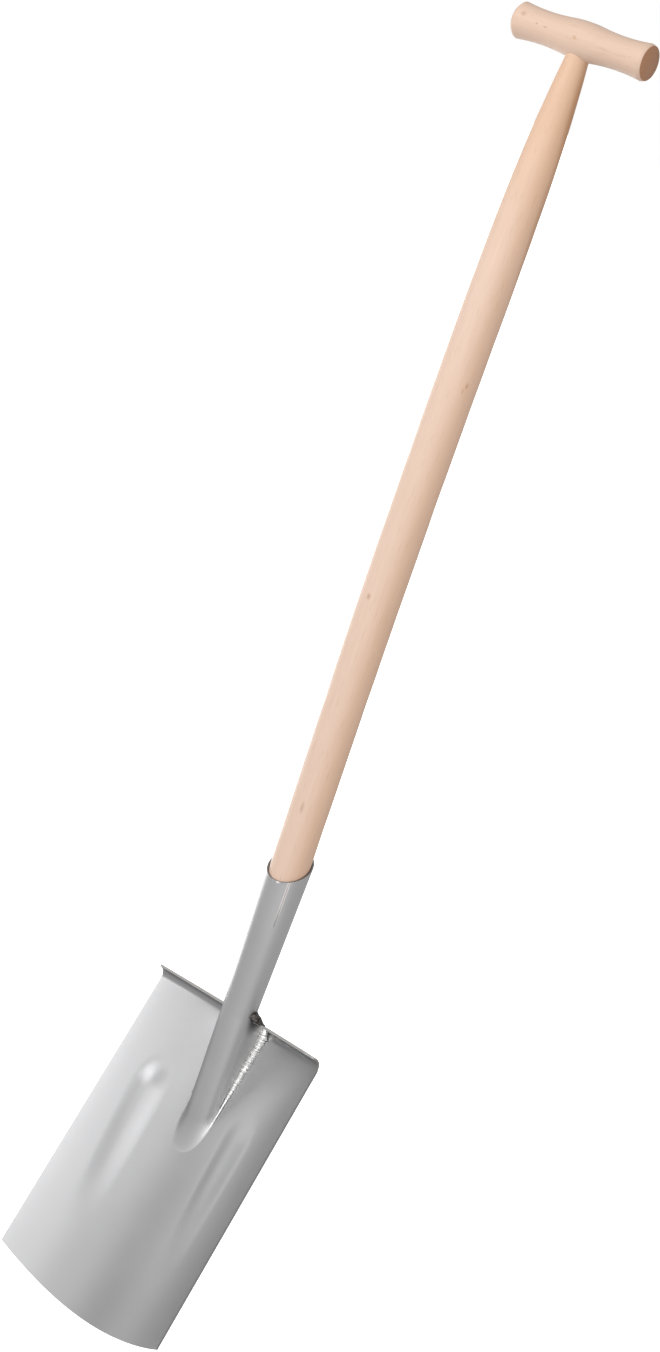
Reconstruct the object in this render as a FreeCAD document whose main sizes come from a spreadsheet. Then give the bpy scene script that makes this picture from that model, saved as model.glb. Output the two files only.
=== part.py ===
import FreeCAD, Part
import math
import os
import Sketcher

# A T-handled garden spade. +Z runs up along the shaft, -Y is the front (the hollow side of the
# blade, which the shaft leans over) and +X is to the right, all in millimetres. The shaft bows a
# little to the front, and the origin is on its axis where the bow is greatest, in its parallel
# stretch, where a rack clip or a hand holds it. Heights run up the shaft from the blade's fold.

size = {
    "ClipHeight": 512.25,      # up to the origin: halfway from the socket's mouth to the grip
    "ShaftBow": 8.5,           # how far the shaft's middle stands in front of its two ends
    "Lean": 22.9,              # degrees between the shaft and the blade
    "DishRadius": 167.0,       # hollow of the blade, on its front face
    "DishOffset": 136.3,       # the hollow's axis, in front of the shaft's axis at the fold
    "Plate": 2.0,              # thickness of the blade's sheet
    "BladeSide": 270.8,        # from the fold down to a corner of the cutting edge
    "HalfWidthTop": 91.0,
    "HalfWidthEdge": 93.5,
    "EdgeRadius": 228.0,
    "FoldRadius": 8.4,         # inside of the fold that makes the treads
    "TreadReach": 128.9,       # from the hollow's axis to the outer ends of the treads' front edge
    "TreadBow": 1030.0,
    "LeftCorner": 2.0,
    "RightCorner": 14.0,
    "NotchRadius": 17.6,       # the treads' notch round the socket
    "NotchReach": 133.5,
    "NotchCurve": 18.0,
    "RibRadius": 34.0,
    "RibInset": 31.0,
    "RibRun": 178.0,
    "RibHeight": -141.0,
    "RibAngle": 17.8,          # degrees round the hollow from the middle of the blade
    "HeelRadius": 15.5,        # outside of the socket where it lies on the blade
    "HeelTop": 8.2,            # top of the socket's open side walls, just under the treads
    "MouthRadius": 19.4,
    "MouthHeight": 153.5,      # middle of the socket's mouth, along the shaft from the fold
    "MouthSlant": 30.5,        # degrees
    "Wall": 1.8,               # thickness of the socket's sheet
    "SeamAngle": 42.0,
    "SeamGap": 0.6,
    "SeamLength": 62.0,
    "WallDepth": 130.0,        # how far down the blade the side walls are drawn before they are cut
    "WallBack": 90.0,
    "Bead": 2.4,               # width of the weld beads
    "CollarRadius": 25.0,
    "CollarHeight": 10.0,
    "CollarTurn": 22.0,        # degrees that the collar reaches round to the front on the right
    "ShaftFoot": 25.0,         # lower end of the wood, inside the socket
    "FootRadius": 13.7,
    "NeckRadius": 16.6,        # the wood at the mouth of the socket
    "SwellHeight": 455.0,      # where the wood has swollen to its full thickness
    "ClipRadius": 18.0,        # the straight, parallel stretch
    "ClipHalf": 45.0,          # half its length
    "TaperStart": 575.0,
    "TaperEnd": 871.0,
    "TenonRadius": 10.0,
    "TenonTop": 897.0,
    "GripHeight": 888.0,
    "GripHalf": 63.4,
    "GripShoulder": 60.2,
    "GripEndRadius": 15.2,
    "GripLeftFace": 12.4,
    "GripRightFace": 14.2,
    "GripBulge": 15.0,
    "GripBulgeRadius": 14.9,
    "GripWaistCurve": 176.0,
    "GripBulgeCurve": 125.0,
    "GlueGap": 0.15,
    "NailRadius": 0.9,
    "NailHead": 1.5,
    "ScrewHeight": 128.0,
    "ScrewRadius": 2.0,
    "ScrewHead": 4.2,
    "ScrewSeat": 18.6,
    "SheetLength": 310.0,      # the blade's sheet before its outlines are cut
    "SheetReach": 115.0,
    "TrimHalf": 140.0,         # frames that the outlines are cut out of
    "TrimTop": 60.0,
    "TrimFoot": 340.0,
    "TrimFar": 230.0,
    "OutlineTop": 30.0,
    "OutlineHalf": 100.0,
    "OutlineFar": 200.0,
    "TrimHeight": 40.0,
    "DishLength": 800.0,       # the cylinder that stands for all that lies in front of the blade
}

def shaftRadius(height):
    if height < size["MouthHeight"]:
        share = (height - size["ShaftFoot"]) / (size["MouthHeight"] - size["ShaftFoot"])
        return size["FootRadius"] + (size["NeckRadius"] - size["FootRadius"]) * share
    if height < size["SwellHeight"]:
        share = (height - size["MouthHeight"]) / (size["SwellHeight"] - size["MouthHeight"])
        swell = 0.5 - 0.5 * math.cos(math.pi * share)
        return size["NeckRadius"] + (size["ClipRadius"] - size["NeckRadius"]) * swell
    share = max(0.0, height - size["TaperStart"]) / (size["TaperEnd"] - size["TaperStart"])
    return size["ClipRadius"] - (size["ClipRadius"] - size["TenonRadius"]) * share ** 4


def shaftBow(height):
    share = (height - size["MouthHeight"]) / (size["TaperEnd"] - size["MouthHeight"])
    return size["ShaftBow"] * math.sin(math.pi * max(0.0, share))


leanSlope = math.tan(math.radians(size["Lean"]))
size["AxisAtHeel"] = round(size["HeelTop"] * leanSlope, 3)
size["AxisAtDepth"] = round(size["WallDepth"] * leanSlope, 3)
clipLow = size["ClipHeight"] - size["ClipHalf"]
clipTop = size["ClipHeight"] + size["ClipHalf"]
ringHeights = {
    "Lower": [(size["ShaftFoot"], size["MouthHeight"], 2), (size["MouthHeight"], clipLow, 7)],
    "Upper": [(clipTop, size["TaperEnd"], 8)],
}
ringCounts = {}
for part, stretches in ringHeights.items():
    heights = [stretches[0][0]]
    for bottom, top, steps in stretches:
        heights += [bottom + (top - bottom) * (step + 1) / steps for step in range(steps)]
    ringCounts[part] = len(heights)
    for ring, height in enumerate(heights):
        straight = height in (clipLow, clipTop)
        size["%sHeight%d" % (part, ring)] = round(height, 3)
        size["%sRadius%d" % (part, ring)] = round(shaftRadius(height), 4)
        size["%sBow%d" % (part, ring)] = size["ShaftBow"] if straight else round(shaftBow(height), 4)

doc = FreeCAD.newDocument("garden_spade")
sheet = doc.addObject("Spreadsheet::Sheet", "Dims")
for row, (name, value) in enumerate(size.items(), start=1):
    sheet.set("A%d" % row, name)
    sheet.set("B%d" % row, str(value))
    sheet.setAlias("B%d" % row, name)
doc.recompute()


def amount(sizes):
    """The number that a sum such as "ClipTop - ClipHeight" comes to."""
    total = 0.0
    sign = 1.0
    for word in sizes.split():
        if word in "+-":
            sign = 1.0 if word == "+" else -1.0
        else:
            total += sign * (size[word] if word in size else float(word))
            sign = 1.0
    return total


def formula(sizes):
    """The same sum as an expression on the spreadsheet."""
    return " ".join("Dims." + word if word in size else word for word in sizes.split())


def bind(thing, **sizes):
    for key, text in sizes.items():
        thing.setExpression(key, formula(text))


def place(thing, x="0", y="0", z="0"):
    """Moves a thing to x and y from the socket's axis, which the bow puts behind the origin."""
    for axis, text in zip("xyz", (x, y + " + ShaftBow", z)):
        thing.setExpression("Placement.Base." + axis, formula(text))


def lean(thing, y="0"):
    """Stands a thing that is drawn upright, with the blade, where the leaning blade has it."""
    thing.Placement.Rotation = FreeCAD.Rotation(FreeCAD.Vector(-1, 0, 0), size["Lean"])
    thing.setExpression("Placement.Rotation.Angle", "Dims.Lean")
    thing.setExpression("Placement.Base.y", "(%s) * cos(Dims.Lean) + Dims.ShaftBow" % formula(y))
    thing.setExpression("Placement.Base.z", "-(%s) * sin(Dims.Lean) - Dims.ClipHeight" % formula(y))


def newBody(label):
    body = doc.addObject("PartDesign::Body", label)
    body.Label = label
    return body


def newSketch(body, name, role):
    sketch = body.newObject("Sketcher::SketchObject", name)
    plane = next(item for item in body.Origin.OriginFeatures if item.Role == role)
    sketch.AttachmentSupport = [(plane, "")]
    sketch.MapMode = "FlatFace"
    return sketch


def arcBetween(start, end, radius):
    """An arc that turns left from start to end when radius is positive, and right when negative."""
    chord = end - start
    middle = (start + end) * 0.5
    across = FreeCAD.Vector(-chord.y, chord.x, 0).normalize()
    reach = abs(radius)
    rise = (reach ** 2 - (chord.Length * 0.5) ** 2) ** 0.5
    side = 1.0 if radius > 0 else -1.0
    centre = middle + across * (rise * side)
    top = centre - across * (reach * side)
    return Part.Arc(start, top, end)


def outline(sketch, corners, arcs=None):
    """Draws a closed outline of (x, y) sums, with an arc after each corner that arcs names."""
    arcs = arcs or {}
    points = [FreeCAD.Vector(amount(x), amount(y), 0) for x, y in corners]
    first = sketch.GeometryCount
    count = len(points)
    for i in range(count):
        start = points[i]
        end = points[(i + 1) % count]
        if i in arcs:
            name, side = arcs[i]
            sketch.addGeometry(arcBetween(start, end, side * amount(name)), False)
        else:
            sketch.addGeometry(Part.LineSegment(start, end), False)
    starts = []
    ends = []
    for i in range(count):
        turnsRight = i in arcs and arcs[i][1] < 0     # a sketch's arc always runs anticlockwise
        starts.append(2 if turnsRight else 1)
        ends.append(1 if turnsRight else 2)
    for i in range(count):
        j = (i + 1) % count
        sketch.addConstraint(Sketcher.Constraint("Coincident", first + i, ends[i], first + j, starts[j]))
    for i, (x, y) in enumerate(corners):
        for kind, text in (("DistanceX", x), ("DistanceY", y)):
            rule = Sketcher.Constraint(kind, -1, 1, first + i, starts[i], amount(text))
            index = sketch.addConstraint(rule)
            sketch.setExpression("Constraints[%d]" % index, formula(text))
    for i, (name, side) in arcs.items():
        index = sketch.addConstraint(Sketcher.Constraint("Radius", first + i, amount(name)))
        sketch.setExpression("Constraints[%d]" % index, formula(name))


def revolve(body, name, sketch, angle=360.0):
    turned = body.newObject("PartDesign::Revolution", name)
    turned.Profile = sketch
    turned.ReferenceAxis = (sketch, ["V_Axis"])
    turned.Angle = angle
    turned.Midplane = True
    return turned


def pocket(body, name, sketch, depth=None):
    """Cuts right through both ways, or up to depth along the sketch's normal."""
    cut = body.newObject("PartDesign::Pocket", name)
    cut.Profile = sketch
    if depth is None:
        cut.Type = "ThroughAll"
        cut.Midplane = True
    else:
        cut.Type = "Length"
        cut.Reversed = True
        cut.setExpression("Length", formula(depth))
    return cut


def primitive(kind, label, **sizes):
    thing = doc.addObject("Part::" + kind, label)
    thing.Label = label
    bind(thing, **sizes)
    return thing


def combine(kind, label, *things):
    """A Part boolean: Cut takes the second from the first, the others take any number."""
    result = doc.addObject("Part::" + kind, label)
    if kind == "Cut":
        result.Base, result.Tool = things
    else:
        result.Shapes = list(things)
    result.Label = label
    return result


# The blade: one pressed sheet, hollow to the front, its top edge folded forward into two treads.

bladeSheet = newBody("blade_sheet")
lean(bladeSheet, "0 - DishOffset")
section = newSketch(bladeSheet, "blade_section", "YZ_Plane")
outline(section, [
    ("DishRadius", "0 - SheetLength"),
    ("DishRadius + Plate", "0 - SheetLength"),
    ("DishRadius + Plate", "0"),
    ("DishRadius - FoldRadius", "FoldRadius + Plate"),
    ("SheetReach", "FoldRadius + Plate"),
    ("SheetReach", "FoldRadius"),
    ("DishRadius - FoldRadius", "FoldRadius"),
    ("DishRadius", "0"),
], {2: ("FoldRadius + Plate", 1), 6: ("FoldRadius", -1)})
revolve(bladeSheet, "blade_rolled", section, 80.0)
doc.recompute()
volumes = [bladeSheet.Shape.Volume]

front = newSketch(bladeSheet, "front_outline", "XZ_Plane")
outline(front, [
    ("0 - HalfWidthEdge", "0 - BladeSide"),
    ("HalfWidthEdge", "0 - BladeSide"),
    ("HalfWidthTop", "0"),
    ("HalfWidthTop", "OutlineTop"),
    ("0 - HalfWidthTop", "OutlineTop"),
    ("0 - HalfWidthTop", "0"),
], {0: ("EdgeRadius", 1)})
outline(front, [
    ("0 - TrimHalf", "0 - TrimFoot"),
    ("TrimHalf", "0 - TrimFoot"),
    ("TrimHalf", "TrimTop"),
    ("0 - TrimHalf", "TrimTop"),
])
pocket(bladeSheet, "side_trim", front)
doc.recompute()
volumes.append(bladeSheet.Shape.Volume)

plan = newSketch(bladeSheet, "tread_outline", "XY_Plane")
outline(plan, [
    ("LeftCorner - HalfWidthTop", "TreadReach"),
    ("HalfWidthTop - RightCorner", "TreadReach"),
    ("HalfWidthTop", "TreadReach + RightCorner"),
    ("OutlineHalf", "TreadReach + RightCorner"),
    ("OutlineHalf", "OutlineFar"),
    ("0 - OutlineHalf", "OutlineFar"),
    ("0 - OutlineHalf", "TreadReach + LeftCorner"),
    ("0 - HalfWidthTop", "TreadReach + LeftCorner"),
], {0: ("TreadBow", -1), 1: ("RightCorner", 1), 7: ("LeftCorner", 1)})
outline(plan, [
    ("0 - TrimHalf", "TrimTop"),
    ("TrimHalf", "TrimTop"),
    ("TrimHalf", "TrimFar"),
    ("0 - TrimHalf", "TrimFar"),
])
pocket(bladeSheet, "tread_trim", plan, "TrimHeight")
doc.recompute()
volumes.append(bladeSheet.Shape.Volume)

opening = newSketch(bladeSheet, "notch_outline", "XY_Plane")
outline(opening, [
    ("0 - NotchRadius", "TrimTop"),
    ("NotchRadius", "TrimTop"),
    ("NotchRadius", "NotchReach"),
    ("0 - NotchRadius", "NotchReach"),
], {2: ("NotchCurve", 1)})
pocket(bladeSheet, "socket_notch", opening, "TrimHeight")
doc.recompute()
volumes.append(bladeSheet.Shape.Volume)
if any(after > before - 100 for before, after in zip(volumes, volumes[1:])):
    raise RuntimeError("a cut in the blade took nothing away: %s" % volumes)


def dishCylinder(label, radius):
    """Everything in front of the blade, out to a radius from the hollow's axis."""
    solid = primitive("Cylinder", label, Radius=radius, Height="DishLength")
    lean(solid)
    solid.setExpression(
        "Placement.Base.y",
        "Dims.ShaftBow - Dims.DishOffset * cos(Dims.Lean) - Dims.DishLength / 2 * sin(Dims.Lean)")
    solid.setExpression(
        "Placement.Base.z",
        "Dims.DishOffset * sin(Dims.Lean) - Dims.DishLength / 2 * cos(Dims.Lean) - Dims.ClipHeight")
    return solid


bladeStance = FreeCAD.Placement(
    FreeCAD.Vector(0, size["ShaftBow"], -size["ClipHeight"]),
    FreeCAD.Rotation(FreeCAD.Vector(1, 0, 0), -size["Lean"]))


def rib(label, side, run, radius):
    """A long barrel, most of it behind the blade's sheet, that pushes a rib out of its front."""
    barrel = primitive("Ellipsoid", label, Radius1=run, Radius2=radius, Radius3=radius)
    barrel.Angle1 = -90
    barrel.Angle2 = 90
    turn = FreeCAD.Rotation(FreeCAD.Vector(0, 0, 1), side * size["RibAngle"])
    reach = turn.multVec(FreeCAD.Vector(0, amount("DishRadius + RibInset"), size["RibHeight"]))
    middle = reach - FreeCAD.Vector(0, size["DishOffset"], 0)
    barrel.Placement = bladeStance.multiply(FreeCAD.Placement(middle, FreeCAD.Rotation()))
    return barrel


ridges = combine("MultiFuse", "rib_ridges", rib("ridge_left", 1, "RibRun", "RibRadius"),
                 rib("ridge_right", -1, "RibRun", "RibRadius"))
ridgesInFront = combine("MultiCommon", "ridges_in_front", ridges,
                        dishCylinder("front_of_sheet", "DishRadius + 1"))
ribbedSheet = combine("MultiFuse", "ribbed_sheet", bladeSheet, ridgesInFront)
hollows = combine("MultiFuse", "rib_hollows",
                  rib("hollow_left", 1, "RibRun - Plate", "RibRadius - Plate"),
                  rib("hollow_right", -1, "RibRun - Plate", "RibRadius - Plate"))
blade = combine("Cut", "blade", ribbedSheet, hollows)

# The socket: a sheet rolled into a tapered tube. Below the treads it is open at the back, and its
# two side walls run on to the blade, down to a point where the tube's front meets the blade.


def sleeve(prefix, inset):
    """The socket's outer shape, or its hollow when inset is the wall: four solids as one."""
    cone = primitive("Cone", prefix + "_cone",
                     Radius1="HeelRadius - " + inset,
                     Radius2="MouthRadius - " + inset,
                     Height="MouthHeight - HeelTop")
    place(cone, z="HeelTop - ClipHeight")
    top = primitive("Cylinder", prefix + "_top", Radius="MouthRadius - " + inset, Height="25")
    place(top, z="MouthHeight - ClipHeight")
    heel = primitive("Cylinder", prefix + "_heel", Radius="HeelRadius - " + inset, Height="HeelTop + 150")
    place(heel, z="0 - ClipHeight - 150")
    walls = newBody(prefix + "_walls")
    lean(walls)
    side = newSketch(walls, prefix + "_side", "YZ_Plane")
    outline(side, [
        ("0 - AxisAtHeel", "HeelTop"),
        ("AxisAtDepth", "0 - WallDepth"),
        ("WallBack", "0 - WallDepth"),
        ("WallBack", "HeelTop"),
    ])
    pad = walls.newObject("PartDesign::Pad", prefix + "_pad")
    pad.Profile = side
    pad.Midplane = True
    pad.setExpression("Length", "2 * (%s)" % formula("HeelRadius - " + inset))
    return combine("MultiFuse", prefix, cone, top, heel, walls)


sleeveOuter = sleeve("sleeve", "0")
sleeveInner = sleeve("hollow", "Wall")
tube = combine("Cut", "open_tube", sleeveOuter, sleeveInner)
tubeInFront = combine("MultiCommon", "tube_in_front", tube, dishCylinder("blade_face", "DishRadius"))
mouthCut = primitive("Box", "mouth_cut", Length="100", Width="100", Height="60")
slant = FreeCAD.Rotation(FreeCAD.Vector(1, 0, 0), size["MouthSlant"])
socketAxis = FreeCAD.Vector(0, size["ShaftBow"], 0)
mouthCentre = socketAxis + FreeCAD.Vector(0, 0, amount("MouthHeight - ClipHeight"))
mouthCut.Placement = FreeCAD.Placement(mouthCentre - slant.multVec(FreeCAD.Vector(50, 50, 0)), slant)
seam = primitive("Box", "seam_gap", Length="SeamGap", Width="30", Height="SeamLength")
seamTurn = FreeCAD.Rotation(FreeCAD.Vector(0, 0, 1), size["SeamAngle"])
seamBase = FreeCAD.Vector(-size["SeamGap"] / 2, -30, amount("MouthHeight + 10 - SeamLength - ClipHeight"))
seam.Placement = FreeCAD.Placement(socketAxis + seamTurn.multVec(seamBase), seamTurn)

# Everything that is turned about a line from front to back is placed with this.

toBack = FreeCAD.Rotation(FreeCAD.Vector(1, 0, 0), -90)


def alongY(thing, y, height):
    thing.Placement.Rotation = toBack
    place(thing, y=y, z=height + " - ClipHeight")
    return thing


screwHole = alongY(primitive("Cylinder", "screw_hole", Radius="ScrewRadius + 0.2", Height="30"),
                   "5", "ScrewHeight")
socketCuts = combine("MultiFuse", "socket_cuts", mouthCut, seam, screwHole)
socket = combine("Cut", "socket", tubeInFront, socketCuts)

# Weld metal: a bead down each side of the socket, and a collar where it comes through the treads.

beadSleeve = sleeve("bead_sleeve", "0 + Bead")
beadRing = combine("Cut", "bead_ring", beadSleeve, sleeveOuter)
beadSkin = combine("Cut", "bead_skin", dishCylinder("bead_face", "DishRadius"),
                   dishCylinder("bead_top", "DishRadius - Bead"))
beads = combine("MultiCommon", "beads", beadRing, beadSkin)
for label, xLow in (("weld_right", "0"), ("weld_left", "-60")):
    half = primitive("Box", label + "_half", Length="60", Width="200", Height="HeelTop + 160")
    lean(half)
    half.setExpression("Placement.Base.x", xLow)
    half.setExpression("Placement.Base.y", "Dims.ShaftBow - 60 * cos(Dims.Lean) - 160 * sin(Dims.Lean)")
    half.setExpression("Placement.Base.z", "60 * sin(Dims.Lean) - 160 * cos(Dims.Lean) - Dims.ClipHeight")
    combine("MultiCommon", label, beads, half)

collarCone = primitive("Cone", "collar_cone", Radius1="CollarRadius", Radius2="HeelRadius + 0.5",
                       Height="CollarHeight")
lean(collarCone)
treadTop = "(Dims.FoldRadius + Dims.Plate)"
collarCone.setExpression(
    "Placement.Base.y",
    treadTop + " * (sin(Dims.Lean) - tan(Dims.Lean) * cos(Dims.Lean)) + Dims.ShaftBow")
collarCone.setExpression(
    "Placement.Base.z",
    treadTop + " * (cos(Dims.Lean) + tan(Dims.Lean) * sin(Dims.Lean)) - Dims.ClipHeight")
collarFront = primitive("Box", "collar_front", Length="80", Width="60", Height="60")
collarTurn = FreeCAD.Rotation(FreeCAD.Vector(0, 0, 1), -size["CollarTurn"])
collarFoot = socketAxis + FreeCAD.Vector(0, 0, amount("-5 - ClipHeight"))
collarFront.Placement = FreeCAD.Placement(
    collarFoot + collarTurn.multVec(FreeCAD.Vector(-40, -60, 0)), collarTurn)
collarBack = combine("Cut", "collar_back", collarCone, collarFront)
combine("Cut", "weld_collar", collarBack, sleeveOuter)

# The shaft: wood, thin where it enters the socket, swollen and bowed forward above it, parallel
# where it is held, then tapered to the tenon that stands in the grip.



def loftWood(part):
    """One end of the shaft, drawn through its rings."""
    body = newBody("shaft_" + part.lower())
    place(body, z="0 - ClipHeight")
    rings = []
    for ring in range(ringCounts[part]):
        circle = newSketch(body, "%s_ring_%d" % (part.lower(), ring), "XY_Plane")
        radius = size["%sRadius%d" % (part, ring)]
        middle = FreeCAD.Vector(0, 0, 0)
        circle.addGeometry(Part.Circle(middle, FreeCAD.Vector(0, 0, 1), radius), False)
        circle.addConstraint(Sketcher.Constraint("Coincident", 0, 3, -1, 1))
        circle.addConstraint(Sketcher.Constraint("Radius", 0, radius))
        circle.setExpression("Constraints[1]", "Dims.%sRadius%d" % (part, ring))
        circle.setExpression("AttachmentOffset.Base.y", "-Dims.%sBow%d" % (part, ring))
        circle.setExpression("AttachmentOffset.Base.z", "Dims.%sHeight%d" % (part, ring))
        rings.append(circle)
    loft = body.newObject("PartDesign::AdditiveLoft", "length_" + part.lower())
    loft.Profile = rings[0]
    loft.Sections = rings[1:]
    return body


clipStretch = primitive("Cylinder", "clip_stretch", Radius="ClipRadius", Height="2 * ClipHalf")
place(clipStretch, y="0 - ShaftBow", z="0 - ClipHalf")
tenon = primitive("Cylinder", "tenon", Radius="TenonRadius", Height="TenonTop - TaperEnd + 2")
place(tenon, z="TaperEnd - 2 - ClipHeight")
shaftWhole = combine("MultiFuse", "shaft_whole", loftWood("Lower"), clipStretch, loftWood("Upper"), tenon)

# The grip: a turned crossbar, waisted each side of the middle, bored for the shaft's tenon.

gripTurned = newBody("grip_turned")
gripTurned.Placement.Rotation = FreeCAD.Rotation(FreeCAD.Vector(0, 1, 0), 90)
place(gripTurned, z="GripHeight - ClipHeight")
turning = newSketch(gripTurned, "grip_profile", "XZ_Plane")
outline(turning, [
    ("0", "0 - GripHalf"),
    ("GripLeftFace", "0 - GripHalf"),
    ("GripEndRadius", "0 - GripShoulder"),
    ("GripBulgeRadius", "0 - GripBulge"),
    ("GripBulgeRadius", "GripBulge"),
    ("GripEndRadius", "GripShoulder"),
    ("GripRightFace", "GripHalf"),
    ("0", "GripHalf"),
], {2: ("GripWaistCurve", -1), 3: ("GripBulgeCurve", 1), 4: ("GripWaistCurve", -1)})
revolve(gripTurned, "grip_turning", turning)
mortise = primitive("Cylinder", "mortise", Radius="TenonRadius + GlueGap",
                    Height="TenonTop + GlueGap + 30 - TaperEnd")
place(mortise, z="TaperEnd - 30 - ClipHeight")

# The nail that holds the grip, driven from the front, and the screw in the back of the socket.

nailHead = alongY(primitive("Cylinder", "nail_head", Radius="NailHead", Height="1"), "-16", "GripHeight")
nailShank = alongY(primitive("Cylinder", "nail_shank", Radius="NailRadius", Height="26"), "-15.5",
                   "GripHeight")
nail = combine("MultiFuse", "grip_nail", nailHead, nailShank)
screwShank = alongY(primitive("Cylinder", "screw_shank", Radius="ScrewRadius", Height="18"), "2.5",
                    "ScrewHeight")
screwHead = alongY(primitive("Cylinder", "screw_head", Radius="ScrewHead", Height="2.2"), "ScrewSeat",
                   "ScrewHeight")
screw = combine("MultiFuse", "socket_screw", screwShank, screwHead)
shaftHoles = combine("MultiFuse", "shaft_holes", nail, screw)
shaft = combine("Cut", "shaft", shaftWhole, shaftHoles)
gripHoles = combine("MultiFuse", "grip_holes", mortise, nail)
grip = combine("Cut", "grip", gripTurned, gripHoles)

doc.recompute()
nodes = ["blade", "socket", "weld_right", "weld_left", "weld_collar", "shaft", "grip", "grip_nail",
         "socket_screw"]
for thing in doc.Objects:
    if "Invalid" in thing.State or "Error" in thing.State:
        raise RuntimeError("%s didn't build: %s" % (thing.Label, thing.State))
os.makedirs("parts", exist_ok=True)
for label in nodes:
    part = doc.getObjectsByLabel(label)[0]
    shape = part.Shape
    if shape.isNull() or not shape.isValid():
        raise RuntimeError("%s isn't a sound solid" % label)
    shape.exportStep("parts/%s.step" % label)
    print(label, "solids", len(shape.Solids), "volume", round(shape.Volume, 1))
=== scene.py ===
import math

import bmesh
import bpy
from mathutils import Matrix, Vector, noise


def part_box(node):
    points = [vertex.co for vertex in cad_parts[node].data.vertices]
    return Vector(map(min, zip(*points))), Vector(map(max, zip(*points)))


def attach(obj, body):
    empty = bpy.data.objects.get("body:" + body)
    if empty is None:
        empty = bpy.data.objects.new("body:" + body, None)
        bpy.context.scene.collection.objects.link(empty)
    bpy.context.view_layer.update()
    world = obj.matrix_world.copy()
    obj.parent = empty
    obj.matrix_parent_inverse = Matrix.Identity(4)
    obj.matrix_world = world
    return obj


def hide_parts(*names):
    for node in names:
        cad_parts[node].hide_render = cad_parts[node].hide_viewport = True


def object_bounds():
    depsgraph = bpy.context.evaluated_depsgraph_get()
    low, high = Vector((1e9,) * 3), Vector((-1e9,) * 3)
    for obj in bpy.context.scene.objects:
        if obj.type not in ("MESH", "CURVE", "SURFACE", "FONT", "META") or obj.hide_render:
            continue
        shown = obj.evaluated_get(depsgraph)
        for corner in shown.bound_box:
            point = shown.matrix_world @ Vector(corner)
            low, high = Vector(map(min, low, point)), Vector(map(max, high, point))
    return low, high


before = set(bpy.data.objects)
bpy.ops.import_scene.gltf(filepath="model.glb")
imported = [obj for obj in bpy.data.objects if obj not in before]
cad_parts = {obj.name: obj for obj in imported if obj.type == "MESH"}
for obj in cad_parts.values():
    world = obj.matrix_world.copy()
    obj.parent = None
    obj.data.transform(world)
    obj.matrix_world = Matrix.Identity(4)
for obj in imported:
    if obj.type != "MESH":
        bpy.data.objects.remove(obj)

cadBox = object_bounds()
scene = bpy.context.scene
mm = 0.001
joinWithin = 0.01 * mm     # corners closer than this are one corner

# Places are measured from the shaft's axis, and heights from the fold across the top of the blade.
stance = {
    "lean": 22.9,          # degrees between the shaft and the blade
    "shaftFoot": 25.0,     # mm from the fold up to the lower end of the wood
}
gripLow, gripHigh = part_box("grip")
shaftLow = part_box("shaft")[0]
axisBack = (gripLow.y + gripHigh.y) / 2
foldUp = shaftLow.z - stance["shaftFoot"] * mm
leanCos = math.cos(math.radians(stance["lean"]))
leanSin = math.sin(math.radians(stance["lean"]))


# A place given in mm from the shaft's axis and up from the fold.
def onShaft(x, y, up):
    return Vector((x * mm, axisBack + y * mm, foldUp + up * mm))


# The same place given along the blade, which leans from the shaft.
def onBlade(x, y, up):
    return onShaft(x, y * leanCos + up * leanSin, up * leanCos - y * leanSin)


def mix(low, high, share):
    return low + (high - low) * share


def smooth(share):
    share = min(1.0, max(0.0, share))
    return share * share * (3 - 2 * share)


# Even steps between one stop and the next.
def spread(stops, counts):
    values = [stops[0]]
    for low, high, count in zip(stops, stops[1:], counts):
        values += [mix(low, high, (step + 1) / count) for step in range(count)]
    return values


# A flat grid whose corners are taken to their places on the piece.
def wrapGrid(columns, rows, place):
    shape = bmesh.new()
    bmesh.ops.create_grid(shape, x_segments=columns, y_segments=rows, size=1.0)
    for vert in shape.verts:
        column = round((vert.co.x + 1) / 2 * columns)
        row = round((vert.co.y + 1) / 2 * rows)
        vert.co = place(column, row)
    return shape


# For closed pieces: the seam and the ends are merged, and the faces turned outwards.
def closeUp(shape):
    bmesh.ops.remove_doubles(shape, verts=shape.verts, dist=joinWithin)
    bmesh.ops.recalc_face_normals(shape, faces=shape.faces)


# For sheets that a wall is given to later: only what falls together is merged.
def mergeSheet(shape):
    bmesh.ops.remove_doubles(shape, verts=shape.verts, dist=joinWithin)
    bmesh.ops.dissolve_degenerate(shape, edges=shape.edges, dist=joinWithin)


def makePiece(name, shape, material, nodes):
    mesh = bpy.data.meshes.new(name)
    for face in shape.faces:
        face.smooth = True
    shape.to_mesh(mesh)
    shape.free()
    piece = bpy.data.objects.new(name, mesh)
    scene.collection.objects.link(piece)
    mesh.materials.append(material)
    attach(piece, "root")
    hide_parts(*nodes)
    return piece


# The sheet's thickness goes behind the drawn face, and its cut edges are eased.
def giveWall(piece, thickness, edge, rim, inside=None):
    wall = piece.modifiers.new("wall", "SOLIDIFY")
    wall.thickness = thickness * mm
    wall.offset = -1
    wall.use_even_offset = False
    piece.data.materials.append(rim)
    wall.material_offset_rim = 1
    if inside:
        piece.data.materials.append(inside)
        wall.material_offset = 2
    ease = piece.modifiers.new("ease", "BEVEL")
    ease.width = edge * mm
    ease.segments = 2
    ease.limit_method = "ANGLE"
    ease.angle_limit = math.radians(50)
    weight = piece.modifiers.new("weight", "WEIGHTED_NORMAL")
    weight.keep_sharp = True


def linear(code):
    values = [int(code[i:i + 2], 16) / 255 for i in (1, 3, 5)]
    return [v / 12.92 if v <= 0.04045 else ((v + 0.055) / 1.055) ** 2.4 for v in values] + [1.0]


def newMaterial(name):
    material = bpy.data.materials.new(name)
    material.use_nodes = True
    tree = material.node_tree
    return material, tree, tree.nodes["Principled BSDF"]


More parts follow.
